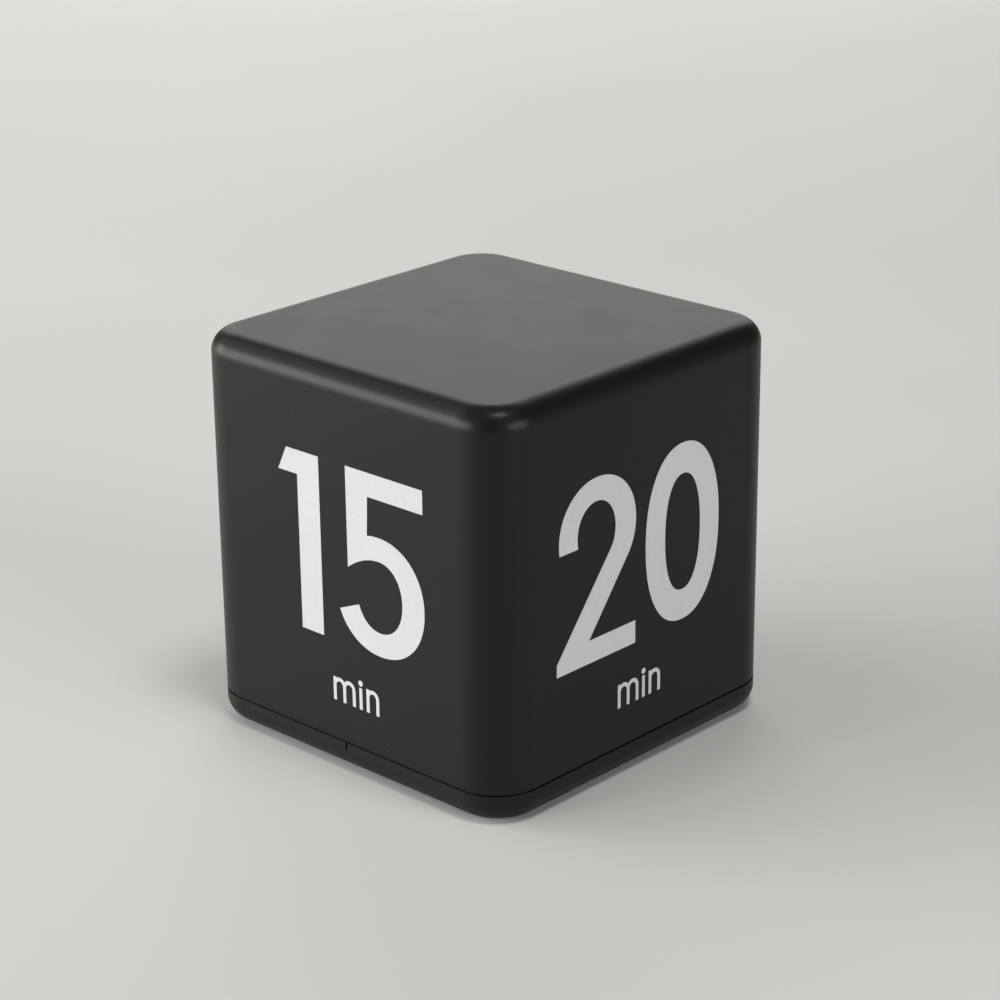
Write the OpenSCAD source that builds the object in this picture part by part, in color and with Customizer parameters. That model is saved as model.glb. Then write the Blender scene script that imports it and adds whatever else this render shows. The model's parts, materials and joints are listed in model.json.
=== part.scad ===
// Flip kitchen timer: a cube with a time on each of four sides.
// Laid on a side, it counts down the time that then faces up.
// Origin at the middle of the underside, +Z up. All sizes in millimetres.

/* [Case] */
// Side of the cube, outside
side = 65; // [64:0.5:80]
// Radius of the four upright corners, seen from above
corner_r = 8; // [7:0.25:10]
// Radius of the top and bottom edges
edge_r = 3.5; // [2.6:0.1:4.2]
// Thickness of the case walls
wall = 2; // [1.6:0.1:2.4]
// Height of the seam between shell and base cover
seam_z = 5.1; // [4.6:0.1:6]
// Height and depth of the fine groove along the seam
reveal = 0.3; // [0.2:0.05:0.5]
// Width of the pry notch in the middle of the front rim
notch_w = 0.35; // [0.2:0.05:1]
// Height of the cover's lip inside the shell
lip_h = 3; // [2:0.25:4]
// Thickness of the cover's lip
lip_t = 1.2; // [1:0.1:1.5]
// Room between fixed pieces that slip together
fit_gap = 0.12; // [0.08:0.02:0.16]
// Room round pieces that slide or turn
run_gap = 0.08; // [0.05:0.01:0.1]
// Thickness of the stiffening ribs
rib_t = 1.2; // [0.8:0.1:1.6]

/* [Case screws] */
// Diameter of the screw's shank
screw_d = 2.6; // [2.2:0.1:3]
// Diameter of the screw's head
head_d = 4.6; // [4.2:0.1:5]
// Height of the screw's head
head_h = 1.8; // [1.4:0.1:2.2]
// Length of the screw under its head
screw_l = 9; // [7:0.5:14]
// Depth of the recess that hides the head
recess_h = 4.5; // [3.6:0.1:5.5]
// Thickness of the seat under the head
seat_t = 2; // [1.5:0.1:2.5]
// Room round the head in its recess
head_room = 0.4; // [0.3:0.05:0.5]
// Wall round the head's recess
boss_wall = 1.6; // [1.4:0.1:1.8]
// Wall round the screw in the shell's pillar
pillar_wall = 1.7; // [1.4:0.1:2]
// Room between a pillar and the pieces beside it
pillar_gap = 0.7; // [0.5:0.05:1]

/* [Cells and bay] */
// Diameter of one cell
cell_d = 10.5; // [10:0.1:10.8]
// Length of one cell without its button
cell_l = 43.3; // [42:0.1:44]
// Diameter of the cell's button
button_d = 3.8; // [3.4:0.1:4.4]
// Height of the cell's button
button_h = 1.2; // [0.8:0.1:1.6]
// Gap between the two cells
cell_gap = 0.4; // [0.3:0.1:0.8]
// Room between the cells and the bay
bay_room = 0.3; // [0.2:0.05:0.5]
// Thickness of the bay's walls
bay_wall = 1.6; // [1.2:0.1:1.8]
// Height of the cells above the door
cell_lift = 0.9; // [0.8:0.1:1.6]
// Thickness of the sheet-metal contacts
sheet_t = 0.4; // [0.3:0.05:0.5]
// Height of the dimple that meets a button
dimple_h = 0.6; // [0.4:0.1:1]
// Length of a coil spring under load
spring_l = 4; // [3.6:0.1:5]
// Diameter of the spring's wire
wire_d = 0.5; // [0.4:0.05:0.6]
// Radius of the spring's first curl, at the contact
spring_r1 = 3.4; // [3:0.1:3.8]
// Radius of the spring's last curl, at the cell
spring_r2 = 2.2; // [1.8:0.1:2.8]
// Curls in a spring
curls = 3; // [2:1:3]
// Width of a contact's solder tab
tab_w = 3; // [2:0.1:4]
// Height of a solder tab above the bay
tab_h = 3.2; // [2.4:0.1:4]

/* [Battery door] */
// Thickness of the door
door_t = 1.6; // [1.4:0.1:1.8]
// How far the door lies above the resting face
door_inset = 0.15; // [0.1:0.05:0.3]
// How far the door reaches past the bay at its ends
door_ledge = 0.7; // [0.5:0.1:1]
// Room between the door and the edge of its opening
door_gap = 0.2; // [0.15:0.05:0.3]
// Corner radius of the door beside its latch
door_corner = 1.5; // [0.8:0.1:2.5]
// Width of a grip groove in the door and in the switch's knob
grip_w = 0.6; // [0.5:0.05:0.7]
// Depth of a grip groove
grip_h = 0.3; // [0.2:0.05:0.5]
// Width of each of the door's two hinge hooks
hook_w = 6; // [4:0.5:8]
// Distance of a hinge hook from the middle
hook_x = 15; // [12:0.5:18]
// Reach of a hinge hook past the hinge axis
hook_l = 2.2; // [2:0.1:2.3]
// Thickness of a hinge hook
hook_t = 0.6; // [0.5:0.05:0.7]
// Height of the collar round the door's opening
collar_h = 3.2; // [3:0.1:3.6]
// Thickness of the collar beside the opening
collar_t = 1.05; // [0.9:0.05:1.3]
// Width of the springy latch
latch_w = 8; // [6:0.5:10]
// Thickness of the latch's legs
latch_t = 0.6; // [0.5:0.05:0.7]
// Reach of the latch's barb
barb_l = 1; // [0.7:0.1:1.1]
// Depth of the finger scoop beside the latch
scoop_h = 0.8; // [0.5:0.1:1]
// Radius of the finger scoop
scoop_r = 5; // [4.4:0.1:6]

/* [Display] */
// How far the display glass reaches past the clear lens
lens_margin = 0.5; // [0.4:0.05:1]
// Corner radius of the clear lens
lens_corner = 1.5; // [0.5:0.1:2.5]
// Thickness of the clear lens
lens_t = 1; // [0.8:0.05:1.2]
// Rim of the window that carries the lens
lens_rim = 1.8; // [1.2:0.1:2.2]
// Room between the display's frame and the walls beside it
frame_gap = 0.85; // [0.6:0.05:1.2]
// Thickness of one of the two glass plates
glass_t = 1.1; // [0.7:0.1:1.3]
// Width of the contact ledge along the glass
glass_ledge = 1.5; // [1.3:0.1:1.8]
// Thickness of the reflector film
film_t = 0.2; // [0.1:0.05:0.3]
// Thickness of a contact strip of layered rubber
zebra_t = 1.1; // [0.9:0.05:1.2]
// Distance of a contact strip's ends from the ends of the glass
zebra_end = 2; // [1.5:0.1:3]
// Wall of the frame that holds the display
frame_wall = 0.6; // [0.5:0.05:0.7]

/* [Boards] */
// Thickness of the circuit boards
board_t = 1.6; // [1:0.1:1.6]
// Room between the main board and the walls beside it
board_gap = 0.45; // [0.4:0.05:0.7]
// Height of the main board above the cover's floor
board_lift = 7; // [6.5:0.1:8]
// Distance of a board's screws from its edges
hole_edge = 1.9; // [1.8:0.05:2.1]
// Diameter of the posts that carry the boards
post_d = 3.2; // [3:0.1:3.4]
// Room between a post and what lies beside it
post_gap = 0.28; // [0.2:0.02:0.5]
// Diameter of the board screws
pin_screw_d = 1.7; // [1.4:0.1:1.8]
// Diameter of the board screws' heads
pin_head_d = 3.4; // [3:0.1:3.6]
// Height of the board screws' heads
pin_head_h = 1.2; // [1:0.1:1.5]
// Length of the board screws under their heads
pin_screw_l = 5; // [4:0.25:6]
// Room between parts on the main board, and to its edge
part_gap = 0.9; // [0.7:0.05:1]
// Diameter of the chip's resin blob
blob_d = 6; // [5:0.25:6.5]
// Height of the chip's resin blob
blob_h = 1.3; // [1:0.1:1.8]
// Diameter of the crystal's can
crystal_d = 2; // [1.6:0.1:2.4]
// Length of the crystal's can
crystal_l = 6; // [5:0.25:7]
// Diameter of the capacitor
capacitor_d = 4; // [3:0.25:4.5]
// Height of the capacitor
capacitor_h = 7; // [5:0.25:9]

// Length of a chip resistor
chip_l = 2; // [1.6:0.1:2.4]
// Width of a chip resistor
chip_w = 1.25; // [0.8:0.05:1.4]
// Height of a chip resistor
chip_h = 0.6; // [0.4:0.05:0.8]

/* [Tilt switches] */
// Diameter of a tilt switch's can
can_d = 3.2; // [3:0.1:3.4]
// Length of a tilt switch's can
can_l = 6.5; // [6:0.1:6.8]
// Wall of the can
can_wall = 0.3; // [0.2:0.05:0.4]
// Length of the plug in the can's mouth
plug_l = 1.5; // [1.2:0.1:1.8]
// Diameter of the connecting pins
pin_d = 0.5; // [0.4:0.05:0.6]
// Distance between the two pins
pin_pitch = 1.6; // [1.2:0.1:1.8]
// Reach of the pins past the can
pin_reach = 1; // [0.7:0.05:1]

/* [On/off switch] */
// Travel of the knob
knob_travel = 3; // [2:0.1:3]
// Length of the knob's pad
pad_l = 4.6; // [4:0.1:5]
// Width of the knob's pad
pad_w = 3.6; // [3:0.1:4]
// Depth of the recess round the knob
dish_h = 0.9; // [0.6:0.05:1]
// Margin of the recess round the slot
dish_margin = 1.6; // [1.2:0.1:2]
// Overlap of the knob's flange past its slot
flange_over = 0.6; // [0.5:0.05:0.8]
// Thickness of the knob's flange
flange_t = 1; // [0.8:0.05:1.1]
// Width of the knob's flange
flange_w = 6; // [5.4:0.1:6.4]
// Width of the switch's actuator
actuator_w = 1.8; // [1.4:0.1:2]
// Thickness of the knob's fork beside the actuator
fork_t = 1; // [0.8:0.05:1.2]
// Length of the switch's body
switch_l = 9; // [8.6:0.1:10]
// Width of the switch's body
switch_w = 4.4; // [4.2:0.1:5]
// Height of the switch's body
switch_h = 3.3; // [3:0.1:3.6]
// Height of the switch's body above the cover's floor
switch_lift = 3.5; // [3.4:0.1:4]
// Width of the switch's board
switch_board_w = 8; // [6:0.25:9]

/* [Sounder] */
// Diameter of the sounder's brass plate
plate_d = 12; // [11:0.25:12.5]
// Thickness of the brass plate
plate_t = 0.25; // [0.2:0.05:0.4]
// Diameter of the ceramic disc
ceramic_d = 9; // [8:0.25:9.5]
// Thickness of the ceramic disc
ceramic_t = 0.2; // [0.15:0.05:0.4]
// Height of the sounder's seat above the cover's floor
sounder_lift = 2; // [1.5:0.1:2.5]
// Width of the seat under the plate's edge
seat_w = 0.8; // [0.6:0.1:1]
// Width of a sound slot
slot_w = 0.9; // [0.7:0.05:1]
// Distance from one sound slot to the next
slot_pitch = 2; // [1.8:0.1:2.4]

/* [Leads] */
// Diameter of an insulated lead
lead_d = 1; // [0.8:0.1:1.2]
// Rise of the leads that cross the battery bay
lead_rise = 18; // [16:0.5:22]

/* [Hidden] */
$fn = 48;
// How far cuts run past the faces that they open
cut = 1;
// How far a rib or boss runs into the wall that carries it
root = 0.5;
half = side / 2;
inner_half = half - wall;
inner_corner = corner_r - wall;
lip_half = inner_half - fit_gap;
cover_half = lip_half - lip_t;
cover_corner = inner_corner - fit_gap - lip_t;
ceiling_z = side - wall;

recess_r = head_d / 2 + head_room;
boss_r = recess_r + boss_wall;
boss_z = recess_h + seat_t;
pillar_r = screw_d / 2 + pillar_wall;
// A pillar stands clear of the rounded corner inside the cover's lip
screw_at = half - corner_r + (cover_corner - pillar_r - pillar_gap) / sqrt(2);
// Radial room round a screw in its pilot hole
thread_gap = 0.02;

cell_y = (cell_d + cell_gap) / 2;
cell_r = cell_d / 2;
bay_r = cell_r + bay_room;
bay_half_y = cell_y + bay_r;
bay_half_x = (cell_l + button_h + dimple_h + spring_l) / 2 + sheet_t;
door_top = door_inset + door_t;
// The door's ledge lies this far above the closed door
ledge_gap = 0.05;
ledge_z = door_top + ledge_gap;
cell_z = door_top + cell_lift + cell_r;
bay_top = cell_z + bay_r + bay_wall;
sheet_x = bay_half_x - sheet_t;
// A contact's pad keeps clear of the troughs' curve, and the bridge of the ridge between them
sheet_w = 1.6 * cell_r;
sheet_z0 = cell_z - 0.8 * cell_r;
sheet_z1 = cell_z + 0.6 * cell_r;
ridge_h = sqrt(bay_r * bay_r - cell_y * cell_y);

door_half_x = bay_half_x + door_ledge;
// The hinge axis runs through the middle of the door's round edge
hinge_y = bay_half_y;
hinge_z = door_inset + door_t / 2;
door_edge_y = bay_half_y + door_t / 2;
opening_x = door_half_x + door_gap;
opening_y = door_edge_y + door_gap;
collar_x = opening_x + collar_t;
collar_y = opening_y + collar_t;
hook_gap = 0.3;
slot_z = hinge_z - hook_t / 2 - run_gap;
// The latch bends round this line, in a notch in the door's edge
latch_y = -door_edge_y + 2 * latch_t + door_gap;
latch_notch = 4 * latch_t;
barb_z = door_top - door_gap;

// The display and the switch each take the middle of a strip beside the bay
strip_y = (collar_y + cover_half) / 2;
strip_w = cover_half - collar_y;
// The main board spans the room between two pillars, and the display the room between its posts
board_l = 2 * (screw_at - pillar_r - pillar_gap);
board_w = strip_w - 2 * board_gap;
board_hole_l = board_l - 2 * hole_edge;
board_hole_w = board_w - 2 * hole_edge;
lens_gap = 0.1;
frame_l = board_hole_l - post_d - 2 * post_gap;
frame_w = strip_w - 2 * frame_gap;
glass_l = frame_l - 2 * (fit_gap + frame_wall);
glass_w = frame_w - 2 * (fit_gap + frame_wall);
lens_l = glass_l - 2 * lens_margin;
lens_w = glass_w - 2 * lens_margin;
zebra_l = glass_l - 2 * zebra_end;
board_z = wall + board_lift;
board_top = board_z + board_t;
film_top = wall + 2 * glass_t + film_t;

can_r = can_d / 2;
ball_r = can_r - can_wall - run_gap;
can_z = board_top + can_r + run_gap;
// Sideways cans lie end to end along the board's near edge, lengthways cans beside its screws
side_can_y = strip_y - board_w / 2 + can_r + part_gap;
can_x = (board_hole_l - pin_head_d) / 2 - part_gap - can_r;
tilt_l = can_l + pin_reach + pin_d / 2;
ball_rest = can_wall + run_gap + ball_r;
// The other parts line up along the board's far edge, from the chip in the middle outwards
row_y = strip_y + board_w / 2 - part_gap;
crystal_x = -(blob_d + crystal_d) / 2 - part_gap;
chip_x = crystal_x - (crystal_d + chip_l) / 2 - part_gap;
capacitor_x = (blob_d + capacitor_d) / 2 + part_gap;
SIDES = ["right", "back", "left", "front"];

switch_y = -strip_y;
slot_l = pad_l + knob_travel + 4 * run_gap;
slot_depth = pad_w + 4 * run_gap;
flange_l = slot_l + knob_travel + 2 * flange_over;
switch_hole_l = flange_l + knob_travel + post_d + 2 * post_gap;
switch_board_l = switch_hole_l + 2 * hole_edge;
// The switch starts beside the left pillar, and the sounder beside the switch
switch_x = screw_at - pillar_r - pillar_gap - switch_board_l / 2;
flange_z = wall + run_gap;
flange_top = flange_z + flange_t;
switch_z = wall + switch_lift;
switch_board_z = switch_z + switch_h;
// The switch's body is folded from sheet, with the actuator's slider inside
slider_z = switch_z + sheet_t + run_gap;
slider_l = actuator_w + 3 * sheet_t;
slider_w = actuator_w + 2 * sheet_t;
slider_h = switch_h / 2 - sheet_t;

plate_r = plate_d / 2;
seat_z = wall + sounder_lift;
ring_r = plate_r + fit_gap + rib_t;
sounder_x = switch_board_l / 2 - switch_x + ring_r + post_gap;
sound_r = plate_r - 2 * seat_w;
ceramic_top = seat_z + plate_t + ceramic_t;
lead_r = lead_d / 2;

// Outline of a slab seen along its length, with rounded upper and lower edges
module section(width, height, top_r, bottom_r) {
  difference() {
    translate([-width / 2, 0]) square([width, height]);
    for (m = [0, 1]) mirror([m, 0]) {
      if (top_r > 0) translate([width / 2 - top_r, height - top_r]) edge_waste(top_r);
      if (bottom_r > 0) translate([width / 2 - bottom_r, bottom_r]) mirror([0, 1]) edge_waste(bottom_r);
    }
  }
}

// What a rounding of this radius takes off a square corner
module edge_waste(r) {
  difference() {
    square(r + cut);
    circle(r);
  }
}

// Square block with rounded upright corners and rounded edges, from z = 0 up
module block(width, height, corner, top_r = 0, bottom_r = 0) {
  run = width - 2 * corner;
  for (turn = [0, 90]) rotate(turn) translate([0, run / 2, 0]) rotate([90, 0, 0])
    linear_extrude(run) section(width, height, top_r, bottom_r);
  for (turn = [0 : 90 : 270]) rotate(turn) translate([run / 2, run / 2, 0])
    rotate_extrude(angle = 90) intersection() {
      square([corner, height]);
      section(2 * corner, height, top_r, bottom_r);
    }
}

// Box of full widths x and y round the Z axis, between two heights
module slab(x, y, z0, z1) {
  translate([-x / 2, -y / 2, z0]) cube([x, y, z1 - z0]);
}

// The same box with its four upright corners rounded
module plate(x, y, r, z0, z1) {
  translate([0, -y / 2, z0]) linear_extrude(z1 - z0) section(x, y, r, r);
}

module at_case_screws() {
  for (x = [-1, 1], y = [-1, 1]) translate([x * screw_at, y * screw_at, 0]) children();
}

module at_board_screws() {
  for (x = [-1, 1], y = [-1, 1])
    translate([x * board_hole_l / 2, strip_y + y * board_hole_w / 2, 0]) children();
}

module at_switch() {
  translate([-switch_x, switch_y, 0]) children();
}

module at_switch_screws() {
  at_switch() for (x = [-1, 1]) translate([x * switch_hole_l / 2, 0, 0]) children();
}

module at_sounder() {
  translate([sounder_x, switch_y, 0]) children();
}

// Frame of one tilt switch: its X axis runs from the blind end to the plug
module at_tilt(i) {
  starts = [
    [part_gap / 2, side_can_y],
    [-can_x, strip_y - tilt_l / 2],
    [-part_gap / 2, side_can_y],
    [can_x, strip_y + tilt_l / 2]
  ];
  translate([starts[i].x, starts[i].y, can_z]) rotate(90 * i) children();
}

// Screw with its head's underside at z = 0, its shank along +Z
module pan_screw(d, l, head, head_height) {
  cylinder(d = d, h = l);
  difference() {
    translate([0, 0, -head_height]) cylinder(d = head, h = head_height);
    for (turn = [0, 90]) rotate(turn) slab(0.6 * head, 0.16 * head, -head_height - cut, -head_height / 2);
  }
}

// Pieces of the case
module shell() color("#2b2b2d") difference() {
  union() {
    difference() {
      block(side, side, corner_r, edge_r, edge_r);
      slab(2 * side, 2 * side, -cut, seam_z);
      translate([0, 0, seam_z - cut])
        block(2 * inner_half, ceiling_z - seam_z + cut, inner_corner, edge_r - wall);
    }
    at_case_screws() translate([0, 0, boss_z]) cylinder(r = pillar_r, h = ceiling_z + root - boss_z);
    for (turn = [0 : 90 : 270]) rotate(turn) pillar_ribs();
  }
  at_case_screws() translate([0, 0, boss_z - cut])
    cylinder(r = screw_d / 2 + thread_gap, h = screw_l - seat_t + 2 * cut);
}

// Two ribs that tie one pillar to the walls beside it, clear of the cover's lip
module pillar_ribs() {
  rib_z = seam_z + lip_h + cut;
  rib_l = inner_half + root - screw_at;
  translate([screw_at, screw_at - rib_t / 2, rib_z]) cube([rib_l, rib_t, ceiling_z + root - rib_z]);
  translate([screw_at - rib_t / 2, screw_at, rib_z]) cube([rib_t, rib_l, ceiling_z + root - rib_z]);
}

module base_cover() color("#2b2b2d") difference() {
  union() {
    difference() {
      union() {
        block(side, seam_z, corner_r, 0, edge_r);
        translate([0, 0, wall]) block(2 * lip_half, seam_z + lip_h - wall, inner_corner - fit_gap);
      }
      translate([0, 0, wall]) block(2 * cover_half, seam_z + lip_h, cover_corner);
    }
    at_case_screws() cylinder(r = boss_r, h = boss_z);
    slab(2 * collar_x, 2 * collar_y, 0, collar_h);
    rotate([90, 0, 90]) translate([0, 0, -bay_half_x - bay_wall])
      linear_extrude(2 * (bay_half_x + bay_wall)) bay_outline(bay_wall);
    at_board_screws() cylinder(d = post_d, h = board_z);
    at_switch_screws() cylinder(d = post_d, h = switch_board_z);
    at_switch() for (m = [0, 1]) mirror([0, m, 0]) translate([0, (flange_w + rib_t) / 2 + run_gap, 0])
      slab(flange_l - 2 * knob_travel, rib_t, wall - root, flange_top);
    at_sounder() cylinder(r = ring_r, h = seat_z + 4 * plate_t);
  }
  seam_groove();
  at_case_screws() {
    translate([0, 0, -cut]) cylinder(r = recess_r, h = recess_h + cut);
    cylinder(r = screw_d / 2 + thread_gap, h = boss_z + cut);
  }
  at_board_screws() translate([0, 0, board_top - pin_screw_l - cut])
    cylinder(r = pin_screw_d / 2 + thread_gap, h = pin_screw_l + 2 * cut);
  at_switch_screws() translate([0, 0, switch_board_z + board_t - pin_screw_l - cut])
    cylinder(r = pin_screw_d / 2 + thread_gap, h = pin_screw_l + 2 * cut);
  bay_cuts();
  window_cuts();
  switch_cuts();
  sounder_cuts();
}

// Fine shadow groove under the shell's rim, and the pry notch in the front rim
module seam_groove() {
  translate([0, 0, seam_z - reveal]) difference() {
    block(side + 2 * cut, reveal, corner_r + cut);
    translate([0, 0, -cut]) block(side - 2 * reveal, reveal + 2 * cut, corner_r - reveal);
  }
  translate([0, -half, 0]) slab(notch_w, 2 * reveal, seam_z - lip_h / 2, seam_z);
}

// Cross-section of the bay: two round troughs over a straight throat, with walls of the given thickness
module bay_outline(thick) {
  for (y = [-cell_y, cell_y]) translate([y, cell_z]) circle(bay_r + thick);
  translate([-bay_half_y - thick, ledge_z]) square([2 * (bay_half_y + thick), cell_z - ledge_z]);
}

// Inside of the battery bay with the door's opening, hinge slots and latch pocket
module bay_cuts() {
  translate([0, -opening_y, -cut])
    linear_extrude(ledge_z + cut) section(2 * opening_x, 2 * opening_y, 0, door_corner + door_gap);
  rotate([90, 0, 90]) translate([0, 0, -bay_half_x]) linear_extrude(2 * bay_half_x) bay_outline(0);
  for (x = [-hook_x, hook_x]) translate([x, hinge_y + hook_l / 2, 0])
    slab(hook_w + 2 * hook_gap, hook_l + 2 * hook_gap, slot_z, collar_h + 2 * hook_gap);
  translate([0, -opening_y, 0]) slab(latch_w + 2 * door_gap, 2 * barb_l, barb_z - run_gap, collar_h + 2 * hook_gap);
  translate([0, -opening_y, -cut]) cylinder(r = scoop_r, h = scoop_h + cut);
  for (y = [-cell_y, cell_y]) translate([sheet_x + sheet_t / 2, y, 0])
    slab(sheet_t, tab_w + 2 * fit_gap, cell_z, bay_top + cut);
}

module window_cuts() {
  translate([0, strip_y, 0]) {
    plate(lens_l + 2 * lens_gap, lens_w + 2 * lens_gap, lens_corner + lens_gap, -cut, lens_gap + lens_t);
    slab(lens_l - 2 * lens_rim, lens_w - 2 * lens_rim, -cut, wall + cut);
  }
}

module switch_cuts() {
  at_switch() {
    plate(slot_l + 2 * dish_margin, slot_depth + 2 * dish_margin, dish_margin, -cut, dish_h);
    slab(slot_l, slot_depth, -cut, wall + cut);
  }
}

// Seat for the sounder, and a round field of sound slots through the floor
module sounder_cuts() {
  reach = floor(sound_r / slot_pitch);
  at_sounder() {
    translate([0, 0, wall]) cylinder(r = plate_r - seat_w, h = side);
    translate([0, 0, seat_z]) cylinder(r = plate_r + fit_gap, h = side);
    for (i = [-reach : reach])
      translate([i * slot_pitch, 0, 0])
        plate(slot_w, 2 * sqrt(sound_r * sound_r - pow(i * slot_pitch, 2)), slot_w / 3, -cut, wall + cut);
  }
}

module case_screws() color("#8f9296") at_case_screws()
  translate([0, 0, recess_h]) pan_screw(screw_d, screw_l, head_d, head_h);

// Battery door, its latch and what lies in the bay
module battery_door() color("#29292b") difference() {
  union() {
    translate([0, -door_edge_y, door_inset])
      linear_extrude(door_t) section(2 * door_half_x, door_edge_y + hinge_y, 0, door_corner);
    translate([-door_half_x, hinge_y, hinge_z]) rotate([0, 90, 0])
      cylinder(d = door_t, h = 2 * door_half_x);
    for (x = [-hook_x, hook_x]) translate([x, hinge_y + hook_l / 2, 0])
      slab(hook_w, hook_l, hinge_z - hook_t / 2, hinge_z + hook_t / 2);
  }
  translate([0, -door_edge_y, 0])
    slab(latch_w + 2 * door_gap, 2 * latch_notch, -cut, door_top + cut);
  for (i = [1 : 3]) translate([0, -door_edge_y + latch_notch + 2 * i * grip_w, 0])
    slab(latch_w, grip_w, -cut, door_inset + grip_h);
}

// Springy clip: a foot on the door, a bend in the door's notch and a barb over the opening's edge
module door_latch() color("#29292b") translate([-latch_w / 2, 0, 0]) rotate([90, 0, 90])
  linear_extrude(latch_w) latch_outline();

module latch_outline() {
  inner_r = latch_t / 2;
  outer_r = inner_r + latch_t;
  bend_z = door_inset + 0.1 + outer_r;
  foot_z = door_top + latch_t;
  top_z = collar_h - run_gap;
  translate([latch_y, bend_z]) difference() {
    union() {
      circle(outer_r);
      translate([-outer_r, 0]) square([2 * outer_r, foot_z - bend_z]);
    }
    circle(inner_r);
    translate([-inner_r, 0]) square([2 * inner_r, foot_z - bend_z + cut]);
  }
  translate([latch_y + inner_r, door_top]) square([latch_notch + latch_t, latch_t]);
  polygon([
    [latch_y - inner_r, bend_z],
    [latch_y - inner_r, top_z],
    [latch_y - outer_r, top_z],
    [latch_y - outer_r - barb_l, barb_z],
    [latch_y - outer_r, barb_z],
    [latch_y - outer_r, bend_z]
  ]);
}

// One cell along X from its flat end, button at the far end
module cell() {
  rotate([0, 90, 0]) {
    cylinder(r = cell_r, h = cell_l);
    translate([0, 0, cell_l - root]) cylinder(d = button_d, h = button_h + root);
  }
}

module battery_cell_right() color("#c9a227")
  translate([-sheet_x + spring_l, cell_y, cell_z]) cell();

module battery_cell_left() color("#c9a227")
  translate([sheet_x - spring_l, -cell_y, cell_z]) rotate(180) cell();

// Pad of a sheet-metal contact against the bay's right end wall
module contact_pad() {
  translate([sheet_x, -sheet_w / 2, sheet_z0]) cube([sheet_t, sheet_w, sheet_z1 - sheet_z0]);
}

// Contact with its solder tab through the bay's roof
module contact_sheet() {
  contact_pad();
  translate([sheet_x, -tab_w / 2, sheet_z1 - root])
    cube([sheet_t, tab_w, bay_top + tab_h + root - sheet_z1]);
}

// Pressed dimple that meets a cell's button
module dimple() {
  translate([sheet_x - dimple_h, 0, cell_z]) rotate([0, 90, 0])
    cylinder(r1 = button_d / 2, r2 = button_d / 2 + 2 * dimple_h, h = dimple_h + sheet_t / 2);
}

module positive_contact() color("#b8bcc0") translate([0, cell_y, 0]) {
  contact_sheet();
  dimple();
}

module negative_contact() color("#b8bcc0") translate([0, -cell_y, 0]) contact_sheet();

module bridge_contact() color("#b8bcc0") rotate(180) {
  for (y = [-cell_y, cell_y]) translate([0, y, 0]) contact_pad();
  translate([sheet_x, -cell_y, sheet_z0]) cube([sheet_t, 2 * cell_y, cell_z + ridge_h / 2 - sheet_z0]);
  translate([0, cell_y, 0]) dimple();
}

// Points along a spring's wire: straight at both ends, round and inward between them
function spring_point(t) =
  let (r = spring_r1 + (spring_r2 - spring_r1) * t, a = 360 * curls * t)
  [wire_d + (spring_l - 2 * wire_d) * t, r * cos(a), r * sin(a)];
SPRING = let (steps = 8 * curls) concat(
  [[0, spring_r1, 0]],
  [for (i = [0 : steps]) spring_point(i / steps)],
  [[spring_l, spring_r2, 0]]
);
SPRING_GAP = min([
  for (i = [0 : len(SPRING) - 1], j = [0 : len(SPRING) - 1])
    if (j >= i + 5) norm(SPRING[i] - SPRING[j]) - wire_d
]);
echo(least_spring_gap = SPRING_GAP);

// Unit vector along v
function unit(v) = v / norm(v);

// Direction of a path at its point i
function along(p, i) = unit(p[min(i + 1, len(p) - 1)] - p[max(i - 1, 0)]);

// Part of v square to the unit vector d, as a unit vector
function square_to(v, d) = unit(v - (v * d) * d);

// Tube of the given sides round a path, each ring turned to the given outward vectors
module tube(path, outward, r, sides) {
  rings = len(path);
  points = [
    for (i = [0 : rings - 1])
      let (d = along(path, i), u = square_to(outward[i], d), w = cross(d, u))
      for (k = [0 : sides - 1])
        let (a = 360 * k / sides) path[i] + r * (cos(a) * u + sin(a) * w)
  ];
  sides_of = [
    for (i = [0 : rings - 2], k = [0 : sides - 1])
      let (n = (k + 1) % sides, a = i * sides, b = a + sides)
      each [[a + k, b + k, b + n], [a + k, b + n, a + n]]
  ];
  last = (rings - 1) * sides;
  caps = [for (k = [1 : sides - 2]) each [[0, k, k + 1], [last, last + k + 1, last + k]]];
  polyhedron(points, concat(sides_of, caps));
}

// Conical coil spring along +X from x = 0
module spring() {
  outward = [for (p = SPRING) unit([0, p.y, p.z])];
  tube(SPRING, outward, wire_d / 2, 6);
}

module negative_spring() color("#b8bcc0")
  translate([sheet_x, -cell_y, cell_z]) rotate(180) spring();

module bridge_spring() color("#b8bcc0") translate([-sheet_x, cell_y, cell_z]) spring();

// Display, from the lens inwards
module display_lens() color("#9fb0b4") translate([0, strip_y, 0])
  plate(lens_l, lens_w, lens_corner, lens_gap, lens_gap + lens_t);

module lcd_front_glass() color("#b7c2b4") translate([0, strip_y, 0])
  slab(glass_l, glass_w, wall, wall + glass_t);

module lcd_rear_glass() color("#aab5a8") translate([0, strip_y, 0])
  slab(glass_l, glass_w - 2 * glass_ledge, wall + glass_t, wall + 2 * glass_t);

module lcd_reflector() color("#d0d2ce") translate([0, strip_y, 0])
  slab(glass_l - 2 * frame_wall, glass_w - 2 * glass_ledge - 2 * frame_wall, wall + 2 * glass_t, film_top);

module lcd_frame() color("#e8e6df") translate([0, strip_y, 0]) difference() {
  slab(frame_l, frame_w, wall, board_z);
  slab(glass_l + 2 * fit_gap, glass_w + 2 * fit_gap, wall - cut, film_top + fit_gap);
  for (y = [-1, 1]) translate([0, y * (glass_w - glass_ledge) / 2, 0])
    slab(zebra_l + 2 * fit_gap, zebra_t + 2 * fit_gap, wall - cut, board_z + cut);
  slab(zebra_l, glass_w - 2 * (glass_ledge + zebra_t), wall - cut, board_z + cut);
}

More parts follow.
